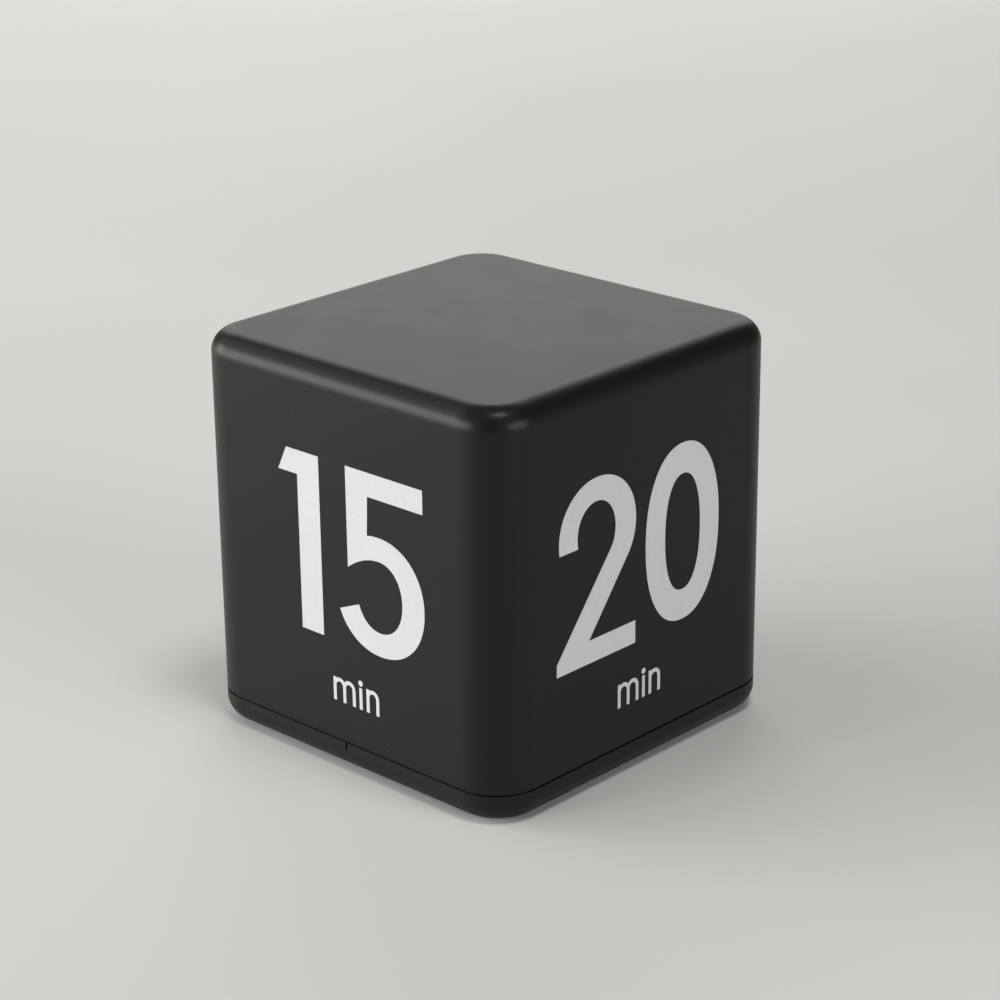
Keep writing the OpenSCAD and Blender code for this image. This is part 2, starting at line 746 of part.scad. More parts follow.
// Contact strip between the glass and the board, on the side given by its sign
module zebra_strip(y) {
  translate([0, strip_y + y * (glass_w - glass_ledge) / 2, 0])
    slab(zebra_l, zebra_t, wall + glass_t, board_z);
}

module zebra_strip_near() color("#3a3d42") zebra_strip(-1);

module zebra_strip_far() color("#3a3d42") zebra_strip(1);

// Main board and what is soldered to it
module main_board() color("#2f6b3f") difference() {
  translate([0, strip_y, 0]) slab(board_l, board_w, board_z, board_top);
  at_board_screws() translate([0, 0, board_z - cut]) cylinder(r = pin_screw_d / 2 + fit_gap, h = board_t + 2 * cut);
}

module board_screws() color("#8f9296") at_board_screws() translate([0, 0, board_top]) mirror([0, 0, 1])
  pan_screw(pin_screw_d, pin_screw_l, pin_head_d, pin_head_h);

// Low dome of resin: the cap of a ball as wide as the blob at the board
module chip_blob() color("#151515") {
  ball = (blob_d * blob_d / 4 + blob_h * blob_h) / (2 * blob_h);
  translate([0, row_y - blob_d / 2, board_top]) intersection() {
    translate([0, 0, blob_h - ball]) sphere(ball, $fn = 96);
    cylinder(r = blob_d, h = blob_h + cut);
  }
}

module crystal() color("#c4c7ca")
  translate([crystal_x, row_y - crystal_l, board_top + crystal_d / 2])
    rotate([-90, 0, 0]) cylinder(d = crystal_d, h = crystal_l);

module capacitor() color("#1d2a52")
  translate([capacitor_x, row_y - capacitor_d / 2, board_top])
    cylinder(d = capacitor_d, h = capacitor_h);

module resistors() color("#1c1c1c") for (i = [0 : 2])
  translate([chip_x, row_y - chip_w / 2 - i * (chip_w + part_gap), 0])
    slab(chip_l, chip_w, board_top, board_top + chip_h);

// Tilt switches: a ball in a closed can shorts two pins when it rolls to the plug
module tilt_can(i) color("#c9ccd0") at_tilt(i) rotate([0, 90, 0]) difference() {
  cylinder(r = can_r, h = can_l);
  translate([0, 0, can_wall]) cylinder(r = can_r - can_wall, h = can_l);
}

module tilt_plug(i) color("#6d5a3a") at_tilt(i) rotate([0, 90, 0])
  translate([0, 0, can_l - plug_l]) cylinder(r = can_r - can_wall - thread_gap, h = plug_l);

module tilt_ball(i) color("#e0b64c") at_tilt(i) translate([ball_rest, 0, 0]) sphere(ball_r);

module tilt_pins() color("#d8d8d8") for (i = [0 : 3]) at_tilt(i) for (y = [-pin_pitch / 2, pin_pitch / 2])
  translate([can_l, y, 0]) {
    rotate([0, 90, 0]) cylinder(d = pin_d, h = pin_reach);
    translate([pin_reach, 0, 0]) sphere(d = pin_d);
    translate([pin_reach, 0, board_top - can_z]) cylinder(d = pin_d, h = can_z - board_top);
  }

// On/off switch
module knob_rest() {
  at_switch() translate([-knob_travel / 2, 0, 0]) children();
}

module switch_knob() color("#d9d9d6") knob_rest() difference() {
  union() {
    slab(pad_l, pad_w, door_inset, flange_z + root);
    slab(flange_l, flange_w, flange_z, flange_top);
    for (m = [0, 1]) mirror([m, 0, 0]) translate([actuator_w / 2 + run_gap + fork_t / 2, 0, 0])
      slab(fork_t, slider_w, flange_z, switch_z - 4 * run_gap);
  }
  for (i = [-1 : 1]) translate([2 * i * grip_w, 0, 0]) slab(grip_w, pad_w + cut, -cut, door_inset + grip_h);
}

module switch_actuator() color("#202020") knob_rest() {
  slab(actuator_w, actuator_w, flange_top + 2 * run_gap, slider_z + slider_h / 2);
  slab(slider_l, slider_w, slider_z, slider_z + slider_h);
}

module switch_body() color("#c4c7ca") at_switch() difference() {
  slab(switch_l, switch_w, switch_z, switch_board_z);
  slab(actuator_w + knob_travel + 4 * run_gap, actuator_w + 4 * run_gap, switch_z - cut, slider_z);
  slab(switch_l - 2 * sheet_t, switch_w - 2 * sheet_t, switch_z + sheet_t, switch_board_z - sheet_t);
}

module switch_board() color("#2f6b3f") difference() {
  at_switch() slab(switch_board_l, switch_board_w, switch_board_z, switch_board_z + board_t);
  at_switch_screws() translate([0, 0, switch_board_z - cut])
    cylinder(r = pin_screw_d / 2 + fit_gap, h = board_t + 2 * cut);
}

module switch_board_screws() color("#8f9296") at_switch_screws()
  translate([0, 0, switch_board_z + board_t]) mirror([0, 0, 1])
    pan_screw(pin_screw_d, pin_screw_l, pin_head_d, pin_head_h);

// Sounder
module piezo_plate() color("#c9a24a") at_sounder() translate([0, 0, seat_z]) cylinder(r = plate_r, h = plate_t);

module piezo_ceramic() color("#d8d4c8") at_sounder()
  translate([0, 0, seat_z + plate_t]) cylinder(d = ceramic_d, h = ceramic_t);

// Point of a smooth curve through two ends, drawn by two handles
function bend(p, t) =
  pow(1 - t, 3) * p[0] + 3 * t * pow(1 - t, 2) * p[1] + 3 * t * t * (1 - t) * p[2] + t * t * t * p[3];

// Insulated lead that leaves one end along the first handle and meets the board from above
module lead(start, first, second, pad) {
  steps = 14;
  path = [for (i = [0 : steps]) bend([start, start + first, pad + second, pad], i / steps)];
  // Ends lie square on what they meet
  tips = concat([start + unit(first) * lead_r], [pad + unit(second) * lead_r]);
  route = concat([start, tips[0]], [for (i = [1 : steps - 1]) path[i]], [tips[1], pad]);
  outward = [for (p = route) [1, 0.2, 0.1]];
  tube(route, outward, lead_r, 8);
}

// Leads arrive on the main board between its end screws: which end, and how many lead widths off the middle
function pad_at(end, x, y) = [end * (board_hole_l / 2 + x * lead_d), strip_y + y * lead_d, board_top];

module battery_lead(y, run, pad) {
  lead([sheet_x, y, bay_top + tab_h / 2], [-run * lead_rise, 0, 0], [0, 0, 0.45 * lead_rise], pad);
}

module battery_lead_red() color("#b3261e") battery_lead(cell_y, 0.3, pad_at(1, 1, -1.2));

module battery_lead_black() color("#181818") battery_lead(-cell_y, 0.7, pad_at(1, -1, 1.2));

// Lead that rises from a piece in the near strip and crosses the bay to the board's left end
module crossing_lead(x, z, pad) {
  lead([x, switch_y, z], [0, 0, lead_rise], [0, 0, 0.8 * lead_rise], pad);
}

module buzzer_leads() color("#b9b9b9") {
  crossing_lead(sounder_x, ceramic_top, pad_at(-1, -1, -1.2));
  crossing_lead(sounder_x + plate_r - lead_d, seat_z + plate_t, pad_at(-1, -1, 1.2));
}

module switch_leads() color("#2f4f9a") for (x = [-1, 1])
  crossing_lead(-switch_x + 1.5 * x * lead_d, switch_board_z + board_t, pad_at(-1, 1, 1.2 * x));

shell();
base_cover();
case_screws();
battery_door();
door_latch();
battery_cell_right();
battery_cell_left();
positive_contact();
negative_contact();
bridge_contact();
negative_spring();
bridge_spring();
display_lens();
lcd_front_glass();
lcd_rear_glass();
lcd_reflector();
lcd_frame();
zebra_strip_near();
zebra_strip_far();
main_board();
board_screws();
chip_blob();
crystal();
capacitor();
resistors();
tilt_pins();
for (i = [0 : 3]) {
  tilt_can(i);
  tilt_plug(i);
  tilt_ball(i);
}
switch_knob();
switch_actuator();
switch_body();
switch_board();
switch_board_screws();
piezo_plate();
piezo_ceramic();
battery_lead_red();
battery_lead_black();
buzzer_leads();
switch_leads();
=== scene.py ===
"""Flip kitchen timer: a satin black cube with a time printed on each of four sides.

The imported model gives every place; this script dresses it. The frame's lengths are metres, and
the sizes named below are millimetres, turned into metres by MM.
"""
import json
import math

import bpy
import numpy as np
from mathutils import Matrix, Vector


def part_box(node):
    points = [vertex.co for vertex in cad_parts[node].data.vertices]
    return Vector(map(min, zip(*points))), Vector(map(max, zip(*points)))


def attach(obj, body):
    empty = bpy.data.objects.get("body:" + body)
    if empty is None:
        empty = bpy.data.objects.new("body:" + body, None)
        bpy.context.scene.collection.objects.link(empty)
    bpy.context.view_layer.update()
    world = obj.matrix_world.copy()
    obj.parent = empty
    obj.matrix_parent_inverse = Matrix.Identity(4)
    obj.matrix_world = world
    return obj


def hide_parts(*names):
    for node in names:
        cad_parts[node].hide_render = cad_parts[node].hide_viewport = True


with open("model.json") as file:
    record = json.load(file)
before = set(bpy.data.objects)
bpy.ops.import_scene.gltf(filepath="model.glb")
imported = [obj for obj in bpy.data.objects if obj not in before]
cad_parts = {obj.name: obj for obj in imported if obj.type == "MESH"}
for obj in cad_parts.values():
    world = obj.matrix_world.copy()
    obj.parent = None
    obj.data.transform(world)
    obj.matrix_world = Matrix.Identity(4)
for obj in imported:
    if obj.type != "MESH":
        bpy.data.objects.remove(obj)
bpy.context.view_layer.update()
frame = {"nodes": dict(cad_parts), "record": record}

MM = 0.001
QUARTER = np.pi / 2
# Points that round to one place at this many steps to a millimetre become one point
PLACES_PER_MM = 1e4
# Edges that turn more than this stay sharp
CREASE = math.radians(32)
# Extra lines of points this far beside a rounding keep the flats flat
SUPPORT = 0.25


# Grids and meshes

def node_box(name):
    """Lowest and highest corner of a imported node, in millimetres."""
    return tuple(np.array(corner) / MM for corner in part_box(name))


def join_grids(grids):
    """Points and faces of several point grids, and which of the grids' points were kept.

    Each square of neighbouring points is a face. Points in one place become one point, which closes
    seams and poles: a square with one side gone becomes a triangle, and one with two gone is left out.
    """
    sizes = np.array([grid.shape[0] * grid.shape[1] for grid in grids])
    starts = np.cumsum(sizes) - sizes
    numbers = [
        start + np.arange(size).reshape(grid.shape[:2]) for start, size, grid in zip(starts, sizes, grids)
    ]
    squares = np.concatenate([
        np.stack([n[:-1, :-1], n[:-1, 1:], n[1:, 1:], n[1:, :-1]], -1).reshape(-1, 4) for n in numbers
    ])
    points = np.concatenate([grid.reshape(-1, 3) for grid in grids])
    places = np.round(points * PLACES_PER_MM).astype(np.int64)
    _, kept, place = np.unique(places, axis=0, return_index=True, return_inverse=True)
    squares = place.reshape(-1)[squares]
    closed = squares == np.roll(squares, -1, axis=1)
    lost = closed.sum(1)
    quads = squares[lost == 0]
    triangles = squares[lost == 1][~closed[lost == 1]].reshape(-1, 3)
    return points[kept], quads.tolist() + triangles.tolist(), kept


def link_mesh(name, points, faces, finish):
    """Object in the scene from points in millimetres and their faces, with one finish."""
    mesh = bpy.data.meshes.new(name)
    mesh.from_pydata(points * MM, [], faces)
    mesh.materials.append(finish)
    linked = bpy.data.objects.new(name, mesh)
    bpy.context.collection.objects.link(linked)
    return linked


def make_piece(name, grids, finish, body="case", stands_for=(), thick=0.0, marks=None):
    """Piece from point grids in millimetres, riding on a body.

    marks holds grids of numbers for each point, which the piece's finish reads by their names.
    A thick piece is a flat sheet that Solidify fills out behind its face.
    """
    points, faces, kept = join_grids(grids)
    piece = link_mesh(name, points, faces, finish)
    for mark, values in (marks or {}).items():
        numbers = np.concatenate([
            np.broadcast_to(value, grid.shape[:2]).reshape(-1) for value, grid in zip(values, grids)
        ])
        attribute = piece.data.attributes.new(mark, "FLOAT", "POINT")
        attribute.data.foreach_set("value", numbers[kept].astype(np.float32))
    if thick:
        solid = piece.modifiers.new("thickness", "SOLIDIFY")
        solid.thickness, solid.offset = thick * MM, -1.0
    else:
        piece.data.set_sharp_from_angle(angle=CREASE)
    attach(piece, body)
    if stands_for:
        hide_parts(*stands_for)


def square_path(reach, corner_steps=22, side_steps=10):
    """Walk round a square: centres C of rounding, outward directions N, and how bent the path is there.

    In a corner C waits while N turns a quarter; along a side N holds while C walks to the next corner.
    The bend is 0 along the sides and 1 in the middle of a corner. The last point is the first one again.
    """
    turn = np.linspace(0, QUARTER, corner_steps)
    walk = np.concatenate([[SUPPORT], np.linspace(0, 2 * reach, side_steps + 1)[1:-1], [2 * reach - SUPPORT]])
    centre = np.concatenate([
        np.full((corner_steps, 2), reach), np.stack([reach - walk, np.full(walk.size, reach)], -1)
    ])
    outward = np.concatenate([
        np.stack([np.cos(turn), np.sin(turn)], -1), np.tile([0.0, 1.0], (walk.size, 1))
    ])
    bend = np.concatenate([np.sin(2 * turn), np.zeros(walk.size)])
    turns = np.array([[[1, 0], [0, 1]], [[0, -1], [1, 0]], [[-1, 0], [0, -1]], [[0, 1], [-1, 0]]])
    centres = np.einsum("kij,pj->kpi", turns, centre).reshape(-1, 2)
    outwards = np.einsum("kij,pj->kpi", turns, outward).reshape(-1, 2)
    bends = np.tile(bend, 4)
    return tuple(np.concatenate([line, line[:1]]) for line in (centres, outwards, bends))


def square_sweep(path, radius, inset, height, shrink):
    """Profile carried round a rounded square: shrink * (C + (radius - inset) * N), at its height."""
    centres, outwards, _ = path
    flat = shrink[:, None, None] * (centres + (radius - inset)[:, None, None] * outwards)
    rise = np.broadcast_to(height[:, None, None], flat.shape[:2] + (1,))
    return np.concatenate([flat, rise], -1)


def softened(points, cut, most=0.45, steps=6):
    """Line of points with curved corners.

    A corner P gives way to (1-s)^2 A + 2 s (1-s) P + s^2 B, where A and B lie cut before and after it,
    or most of the shorter line beside it where cut is longer than that.
    """
    points = np.asarray(points, float)
    step = np.diff(points, axis=0)
    length = np.linalg.norm(step, axis=1)
    unit = step / length[:, None]
    room = np.minimum(cut, most * np.minimum(length[:-1], length[1:]))[:, None]
    before, after = points[1:-1] - room * unit[:-1], points[1:-1] + room * unit[1:]
    s = np.linspace(0, 1, steps)[None, :, None]
    curves = (1 - s) ** 2 * before[:, None] + 2 * s * (1 - s) * points[1:-1, None] + s ** 2 * after[:, None]
    return np.concatenate([points[:1], curves.reshape(-1, 2), points[-1:]])


def turned(profile, foot, axis, steps=64):
    """Profile of (radius, height) turned round an axis: foot + height * axis + radius * (cos p + sin q)."""
    axis = np.asarray(axis, float)
    p = np.roll(np.abs(axis), 1)
    q = np.cross(axis, p)
    angle = np.linspace(0, 2 * np.pi, steps + 1)
    ring = np.cos(angle)[:, None] * p + np.sin(angle)[:, None] * q
    radius, height = profile[:, 0], profile[:, 1]
    return np.asarray(foot) + height[:, None, None] * axis + radius[:, None, None] * ring


def tube(path, radius, sides=16):
    """Round wire along a path: path + radius * (cos U + sin W), U and W square to the path, ends closed."""
    along = np.gradient(path, axis=0)
    along /= np.linalg.norm(along, axis=1)[:, None]
    # A way that none of the wires runs along
    steady = np.array([0.93, 0.31, 0.2])
    u = steady - (along @ steady)[:, None] * along
    u /= np.linalg.norm(u, axis=1)[:, None]
    w = np.cross(along, u)
    angle = np.linspace(0, 2 * np.pi, sides + 1)
    ring = np.cos(angle)[:, None] * u[:, None] + np.sin(angle)[:, None] * w[:, None]
    walls = path[:, None] + radius * ring
    ends = [np.broadcast_to(path[i], (1, sides + 1, 3)) for i in (0, -1)]
    return np.concatenate([ends[0], walls, ends[1]])


def block(low, high):
    """Six grids that close a plain block between two corners, for the ribs inside a moulding."""
    low, high = np.asarray(low, float), np.asarray(high, float)
    unit = np.array([[[0, 0], [1, 0]], [[0, 1], [1, 1]]], float)
    grids = []
    for axis in range(3):
        near, far = (axis + 1) % 3, (axis + 2) % 3
        for end, order in ((low, [near, far]), (high, [far, near])):
            grid = np.empty((2, 2, 3))
            grid[..., axis] = end[axis]
            grid[..., order[0]] = low[order[0]] + unit[..., 1] * (high - low)[order[0]]
            grid[..., order[1]] = low[order[1]] + unit[..., 0] * (high - low)[order[1]]
            grids.append(grid)
    return grids


# Finishes

class Value:
    """Number that varies over a surface: a node's output, whose operators add Math nodes."""

    def __init__(self, finish, socket):
        self.finish, self.socket = finish, socket

    def math(self, operation, *values):
        """Math node of an operation on these values."""
        return self.finish.node("Math", {"operation": operation}, dict(enumerate(values)))

    def __add__(self, other):
        return self.math("ADD", self, other)

    def __sub__(self, other):
        return self.math("SUBTRACT", self, other)

    def __rsub__(self, other):
        return self.math("SUBTRACT", other, self)

    def __mul__(self, other):
        return self.math("MULTIPLY", self, other)

    def __gt__(self, other):
        return self.math("GREATER_THAN", self, other)

    __radd__, __rmul__ = __add__, __mul__


class Finish:
    """Material with a Principled surface; any other node comes from node()."""

    def __init__(self, name, **fixed):
        self.material = bpy.data.materials.new(name)
        self.material.use_nodes = True
        self.tree = self.material.node_tree
        self.surface = self.tree.nodes["Principled BSDF"]
        self.set(**fixed)
        self.place = self.node("TexCoord", output="Object")

    def feed(self, socket, value):
        """Link a varying value to a socket, or set the socket to a constant."""
        if isinstance(value, Value):
            self.tree.links.new(value.socket, socket)
        else:
            socket.default_value = value

    def set(self, **sockets):
        """Feed the surface's sockets, named with underscores for spaces."""
        for socket, value in sockets.items():
            self.feed(self.surface.inputs[socket.replace("_", " ")], value)
        return self

    def node(self, kind, settings=None, inputs=None, output=0):
        """Node of a kind, with its settings and then its sockets, given as numbers, colours or links."""
        node = self.tree.nodes.new("ShaderNode" + kind)
        for name, value in (settings or {}).items():
            setattr(node, name, value)
        for socket, value in (inputs or {}).items():
            self.feed(node.inputs[socket], value)
        return Value(self, node.outputs[output])

    def noise(self, size, detail=2.0, rough=0.5, place=None):
        """Cloudy numbers round 0.5 whose patches are about this many millimetres wide."""
        return self.node("TexNoise", {}, {
            "Vector": place or self.place, "Scale": 1 / (size * MM), "Detail": detail, "Roughness": rough,
        }, "Fac")

    def cloud(self, size, detail):
        """Noise drawn out so that it reaches from 0 to 1."""
        return self.spread(self.noise(size, detail), 0.3, 0.7)

    def uneven(self, size, detail, reach):
        """Noise round nought, this far from its lowest to its highest."""
        return (self.noise(size, detail) - 0.5) * reach

    def cells(self, size, output="Distance", feature="F1"):
        """Scattered points about this many millimetres apart: distance to the nearest, or its own colour."""
        return self.node("TexVoronoi", {"feature": feature}, {
            "Vector": self.place, "Scale": 1 / (size * MM), "Randomness": 1.0,
        }, output)

    def stretched(self, x, y, z):
        """The place on the piece with each axis multiplied, for grain that runs one way."""
        return self.node("VectorMath", {"operation": "MULTIPLY"}, {0: self.place, 1: (x, y, z)})

    def axis(self, letter):
        """One coordinate of the place on the piece, in millimetres."""
        return self.node("SeparateXYZ", {}, {0: self.place}, letter) * (1 / MM)

    def mark(self, name):
        """The piece's own number of this name, nought where it has none."""
        return self.node("Attribute", {"attribute_name": name}, output="Fac")

    def spread(self, value, low, high, out_low=0.0, out_high=1.0):
        """A value carried from one range to another and held inside it."""
        return self.node("MapRange", {"clamp": True}, {
            "Value": value, "From Min": low, "From Max": high, "To Min": out_low, "To Max": out_high,
        })

    def mix(self, share, first, second):
        """Colour between two colours by a share."""
        return self.node("Mix", {"data_type": "RGBA"}, {0: share, 6: first, 7: second}, 2)

    def relief(self, height, depth, strength):
        """Raise the surface by a height from 0 to 1 over this many millimetres."""
        return self.set(Normal=self.node("Bump", {}, {
            "Strength": strength, "Distance": depth * MM, "Height": height,
        }, "Normal"))


def shade(colour, factor):
    """A colour times a factor, as four numbers."""
    return tuple(min(1.0, c * factor) for c in colour[:3]) + (1.0,)


def case_plastic():
    """Satin black moulding: fine eroded grain, cloudy depth of colour, rubbed edges and specks of dust."""
    look = Finish("case_black_plastic", IOR=1.5, Specular_IOR_Level=0.221,
                  Coat_Weight=0.09, Coat_Roughness=0.17)
    black, worn, dust = (0.0045, 0.0045, 0.0047), (0.03, 0.03, 0.031, 1.0), (0.3, 0.29, 0.28, 1.0)
    speck_pitch, speck_limit = 3.1, 0.93
    body = look.mix(look.cloud(14, 3), shade(black, 0.95), shade(black, 1.06))
    rubbed = look.mark("wear") * look.spread(look.noise(2.2, 3, 0.6), 0.35, 0.75, 0.25, 1.0)
    body = look.mix(rubbed * 0.07, body, worn)
    chosen = look.node("SeparateColor", {}, {0: look.cells(speck_pitch, "Color")}) > speck_limit
    speck = chosen * look.spread(look.cells(speck_pitch), 0.018, 0.04, 1.0, 0.0)
    grain = look.noise(0.16, 3, 0.62)
    smudge = look.spread(look.noise(9, 4, 0.55), 0.35, 0.7, -0.012, 0.012)
    look.set(Base_Color=look.mix(speck * 0.3, body, dust),
             Roughness=0.46 + smudge + (grain - 0.5) * 0.1 - rubbed * 0.05)
    return look.relief(grain * 0.8 + look.noise(0.5, 2) * 0.2, 0.010, 0.55).material


def print_ink():
    """Off-white screen print: slightly uneven cover, soft sheen and the plastic's grain showing through."""
    look = Finish("print_ink", IOR=1.45, Specular_IOR_Level=0.35)
    thin, full, washed = (0.60, 0.60, 0.595, 1.0), (0.645, 0.645, 0.64, 1.0), (0.69, 0.685, 0.675, 1.0)
    ink = look.mix(look.spread(look.noise(0.9, 4, 0.6), 0.3, 0.75), thin, full)
    look.set(Base_Color=look.mix(look.cloud(11, 2) * 0.35, ink, washed),
             Roughness=0.5 + look.uneven(0.3, 2, 0.2))
    return look.relief(look.noise(0.16, 3, 0.6), 0.006, 0.5).material


def moulding(name, colour, rough, grain=0.3):
    """Plain moulded plastic: cloudy colour, a fine grain and small changes in sheen."""
    look = Finish(name)
    look.set(Base_Color=look.mix(look.cloud(5, 3), shade(colour, 0.9), shade(colour, 1.08)),
             Roughness=rough + look.uneven(1.6, 3, 0.16))
    return look.relief(look.noise(grain, 2), 0.01, 0.5).material


def metal(name, colour, rough, along=(1.0, 1.0, 1.0)):
    """Plated metal: fine drawing lines along one way, dulled patches and small changes in colour."""
    look = Finish(name, Metallic=1.0)
    lines = look.noise(0.25, 3, 0.6, look.stretched(*along))
    dull = look.spread(look.noise(2.4, 4, 0.6), 0.42, 0.75)
    look.set(Base_Color=look.mix(dull, shade(colour, 1.0), shade(colour, 0.72)),
             Roughness=rough + dull * 0.14 + (lines - 0.5) * 0.16)
    return look.relief(lines, 0.008, 0.4).material


def insulation(name, colour):
    """Extruded lead insulation: even colour with faint drawing lines and a soft gloss."""
    look = Finish(name)
    cloud = look.noise(1.5, 2)
    look.set(Base_Color=look.mix(cloud, shade(colour, 0.85), shade(colour, 1.12)),
             Roughness=0.38 + (cloud - 0.5) * 0.2)
    return look.relief(look.noise(0.2, 2), 0.01, 0.4).material


def cell_sleeve():
    """Printed cell: grey metal ends, a golden sleeve, and a pale band and line near the button's end."""
    look = Finish("cell_sleeve", Specular_IOR_Level=0.5)
    gold, bright_gold, pale = (0.56, 0.38, 0.065, 1.0), (0.62, 0.43, 0.08, 1.0), (0.60, 0.60, 0.58, 1.0)
    steel, bright_steel = (0.54, 0.545, 0.55, 1.0), (0.60, 0.60, 0.60, 1.0)
    along, covered = look.mark("along"), look.mark("covered")
    band = look.spread(along, 0.752, 0.756)
    line = look.spread(along, 0.728, 0.731) * look.spread(along, 0.740, 0.743, 1.0, 0.0)
    printed = look.mix(band.math("MAXIMUM", band, line), look.mix(look.cloud(3, 3), gold, bright_gold), pale)
    bare = look.mix(look.noise(0.8, 3), steel, bright_steel)
    look.set(Base_Color=look.mix(covered, bare, printed), Metallic=1 - covered * 0.45,
             Roughness=0.36 - covered * 0.06 + look.uneven(2.5, 3, 0.08))
    return look.relief(look.noise(3.0, 2), 0.010, 0.3).material


def lens_plastic():
    """Clear acrylic window: almost all seen through, with a faint haze of fine scratches."""
    look = Finish("lens_clear", IOR=1.49)
    clear, scratched = (0.55, 0.58, 0.58, 1.0), (0.75, 0.76, 0.76, 1.0)
    haze = look.spread(look.noise(0.12, 2, 0.6, look.stretched(1.0, 0.06, 1.0)), 0.62, 0.8)
    look.set(Base_Color=look.mix(haze, clear, scratched),
             Roughness=0.06 + haze * 0.12, Alpha=0.12 + haze * 0.1)
    return look.material


def display_glass():
    """Grey-green display glass with a polished face and a faint mottled polariser."""
    look = Finish("lcd_glass", Coat_Roughness=0.04)
    grey, pale, deep = (0.31, 0.345, 0.285, 1.0), (0.345, 0.38, 0.315, 1.0), (0.27, 0.30, 0.25, 1.0)
    cloud, mottle = look.cloud(6, 3), look.noise(0.18, 2)
    look.set(Base_Color=look.mix(mottle * 0.3, look.mix(cloud, grey, pale), deep),
             Roughness=0.32 + (mottle - 0.5) * 0.1, Coat_Weight=0.7 + (cloud - 0.5) * 0.1)
    return look.material


def layered_rubber():
    """Contact strip: thin dark and pale layers side by side along its length."""
    look = Finish("contact_rubber")
    dark, pale, layer = (0.012, 0.012, 0.013, 1.0), (0.24, 0.17, 0.14, 1.0), 0.09
    along = look.axis("X")
    stripe = look.spread(along.math("PINGPONG", along, layer) * (1 / layer), 0.4, 0.6)
    look.set(Base_Color=look.mix(stripe, dark, pale), Roughness=0.62 + look.uneven(0.4, 2, 0.2))
    return look.relief(stripe, 0.01, 0.4).material


def circuit_board():
    """Solder mask over copper: tracks run as raised paler lines, with tinned spots where they end."""
    look = Finish("board_green")
    green, bright_green = (0.010, 0.060, 0.024, 1.0), (0.014, 0.078, 0.030, 1.0)
    over_track, tin, pitch = (0.026, 0.13, 0.048, 1.0), (0.50, 0.50, 0.48, 1.0), 3.4
    track = look.spread(look.cells(pitch, "Distance", "DISTANCE_TO_EDGE"), 0.05, 0.075, 1.0, 0.0)
    pad = look.spread(look.cells(pitch), 0.10, 0.13, 1.0, 0.0)
    mask = look.mix(track, look.mix(look.noise(2.5, 3), green, bright_green), over_track)
    look.set(Base_Color=look.mix(pad, mask, tin), Metallic=pad * 0.9,
             Roughness=0.34 + look.uneven(0.5, 2, 0.15))
    return look.relief(track * 0.6 + pad * 0.4, 0.03, 0.7).material


def printed_sleeve():
    """Capacitor's shrink sleeve: dark blue with one pale stripe, and the bare aluminium top."""
    look = Finish("capacitor_sleeve")
    blue, bright_blue = (0.012, 0.022, 0.082, 1.0), (0.016, 0.028, 0.1, 1.0)
    pale, aluminium = (0.34, 0.38, 0.45, 1.0), (0.6, 0.61, 0.62, 1.0)
    high = node_box("capacitor")[1]
    stripe = look.spread(look.axis("X"), high[0] - 1.0, high[0] - 0.9)
    top = look.spread(look.axis("Z"), high[2] - 0.02, high[2] - 0.01)
    printed = look.mix(stripe, look.mix(look.noise(1.5, 2), blue, bright_blue), pale)
    look.set(Base_Color=look.mix(top, printed, aluminium), Metallic=top,
             Roughness=0.33 + look.uneven(0.6, 2, 0.16))
    return look.material


case_black = case_plastic()
ink_white = print_ink()
display_ink = moulding("display_segments", (0.020, 0.023, 0.020), 0.4)

finishes = {
    "case_black": case_black,
    "screw_steel": metal("screw_steel", (0.52, 0.53, 0.54), 0.3, (1.0, 1.0, 0.2)),
    "cell_sleeve": cell_sleeve(),
    "contact_nickel": metal("contact_nickel", (0.60, 0.60, 0.58), 0.26, (1.0, 1.0, 0.12)),
    "lens_clear": lens_plastic(),
    "lcd_glass": display_glass(),
    "lcd_film": moulding("lcd_film", (0.52, 0.55, 0.50), 0.3),
    "frame_white": moulding("frame_white", (0.72, 0.70, 0.65), 0.5),
    "contact_rubber": layered_rubber(),
    "board_green": circuit_board(),
    "chip_resin": moulding("chip_resin", (0.012, 0.012, 0.012), 0.28, 0.8),
    "capacitor_sleeve": printed_sleeve(),
    "can_steel": metal("can_steel", (0.62, 0.63, 0.65), 0.2),
    "plug_brown": moulding("plug_brown", (0.13, 0.085, 0.045), 0.55),
    "ball_brass": metal("ball_brass", (0.72, 0.50, 0.17), 0.22),
    "knob_grey": moulding("knob_grey", (0.60, 0.60, 0.585), 0.46),
    "actuator_black": moulding("actuator_black", (0.02, 0.02, 0.02), 0.45),
    "piezo_white": moulding("piezo_white", (0.64, 0.61, 0.52), 0.42),
    "lead_red": insulation("lead_red", (0.42, 0.018, 0.012)),
    "lead_black": insulation("lead_black", (0.012, 0.012, 0.012)),
    "lead_grey": insulation("lead_grey", (0.44, 0.44, 0.44)),
    "lead_blue": insulation("lead_blue", (0.024, 0.07, 0.28)),
}
slot_of = {sub["node"]: sub["material_slot"] for sub in frame["record"]["subparts"]}
for node_name, node_object in frame["nodes"].items():
    for material_slot in node_object.material_slots:
        material_slot.material = finishes[slot_of[node_name]]


# Shell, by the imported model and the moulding's own radii

shell_low, shell_high = node_box("shell")
HALF, TOP, SEAM = shell_high[0], shell_high[2], shell_low[2]
CORNER_R = 8.0
EDGE_R = 3.5
WALL = 2.0
RIM_R = 0.12
# The sides lie this much within the cube, and the printed ink fills that out
INK = 0.03
# Share of an edge's wear that the upright corners have
CORNER_WEAR = 0.6


